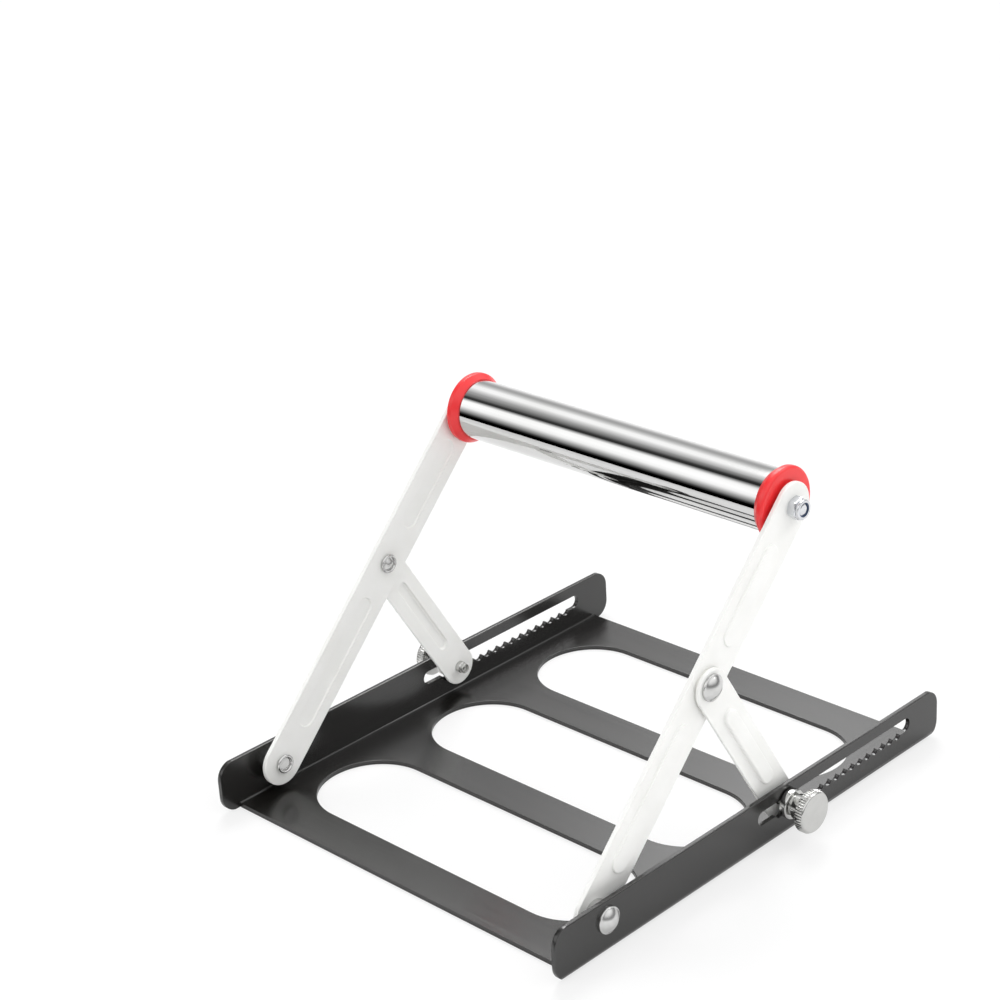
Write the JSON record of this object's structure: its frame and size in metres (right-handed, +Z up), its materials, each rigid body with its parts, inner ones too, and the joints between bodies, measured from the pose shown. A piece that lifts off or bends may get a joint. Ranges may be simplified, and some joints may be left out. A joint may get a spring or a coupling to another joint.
{
  "type": "material support stand",
  "caption": "Folding material support stand: a sheet tray with windows whose hinged arms carry a bearing roller, propped by struts that lock with thumb screws in toothed slots.",
  "frame": {"origin": "on the floor under the middle of the stand", "axes": "+X along the roller to the right, +Y from the end with the arm pivots to the rear, +Z up"},
  "size_m": [0.2208, 0.24, 0.1533],
  "materials": {
    "tray_coating": "satin dark grey powder coat",
    "arm_coating": "smooth white powder coat",
    "rivet_steel": "bright steel, upset by the rivet press",
    "zinc_steel": "bright zinc plate",
    "nickel_plate": "nickel plate over turned and knurled steel",
    "roller_chrome": "polished tube",
    "bearing_steel": "ground",
    "red_plastic": "moulded, semi gloss",
    "nylon_blue": "matte moulded nylon",
    "nylon_white": "matte moulded nylon"
  },
  "bodies": {
    "base": {"base_tray": "tray_coating", "left_pivot_rivet": "rivet_steel", "right_pivot_rivet": "rivet_steel", "left_pivot_spacer": "rivet_steel", "right_pivot_spacer": "rivet_steel"},
    "arm_frame": {"axle_rod": "zinc_steel", "axle_sleeve": "zinc_steel", "left_arm": "arm_coating", "right_arm": "arm_coating", "left_strut_rivet": "rivet_steel", "right_strut_rivet": "rivet_steel", "left_strut_washer": "nylon_white", "right_strut_washer": "nylon_white", "left_axle_washer": "zinc_steel", "right_axle_washer": "zinc_steel", "left_lock_nut": "zinc_steel", "right_lock_nut": "zinc_steel", "left_lock_nut_insert": "nylon_blue", "right_lock_nut_insert": "nylon_blue", "left_bearing_inner_ring": "bearing_steel", "right_bearing_inner_ring": "bearing_steel"},
    "strut_left": {"left_strut": "arm_coating", "left_threaded_bush": "nickel_plate"},
    "strut_right": {"right_strut": "arm_coating", "right_threaded_bush": "nickel_plate"},
    "thumb_left": {"left_thumb_screw": "nickel_plate"},
    "thumb_right": {"right_thumb_screw": "nickel_plate"},
    "roller": {"roller_tube": "roller_chrome", "left_end_cap": "red_plastic", "right_end_cap": "red_plastic", "left_bearing_outer_ring": "bearing_steel", "right_bearing_outer_ring": "bearing_steel", "left_bearing_balls": "bearing_steel", "right_bearing_balls": "bearing_steel"}
  },
  "joints": [
    {"name": "arm_pivot", "type": "hinge", "parent": "base", "child": "arm_frame", "pos_m": [0, -0.0912, 0.0146], "axis": [1, 0, 0], "range_deg": [-36.6, 4.7]},
    {"name": "left_strut_pivot", "type": "hinge", "parent": "arm_frame", "child": "strut_left", "pos_m": [-0.0917, -0.02373, 0.08275], "axis": [1, 0, 0], "range_deg": [-11.1, 85.8]},
    {"name": "right_strut_pivot", "type": "hinge", "parent": "arm_frame", "child": "strut_right", "pos_m": [0.0917, -0.02373, 0.08275], "axis": [1, 0, 0], "range_deg": [-11.1, 85.8]},
    {"name": "left_screw_spin", "type": "hinge", "parent": "strut_left", "child": "thumb_left", "pos_m": [-0.0985, 0.01695, 0.01468], "axis": [1, 0, 0], "continuous": true},
    {"name": "right_screw_spin", "type": "hinge", "parent": "strut_right", "child": "thumb_right", "pos_m": [0.0985, 0.01695, 0.01468], "axis": [1, 0, 0], "continuous": true},
    {"name": "roller_spin", "type": "hinge", "parent": "arm_frame", "child": "roller", "pos_m": [0, 0.0308, 0.13783], "axis": [1, 0, 0], "continuous": true}
  ],
  "couplings": [
    {"joint": "left_strut_pivot", "follows": "arm_pivot", "ratio": -2.343},
    {"joint": "right_strut_pivot", "follows": "arm_pivot", "ratio": -2.343}
  ]
}
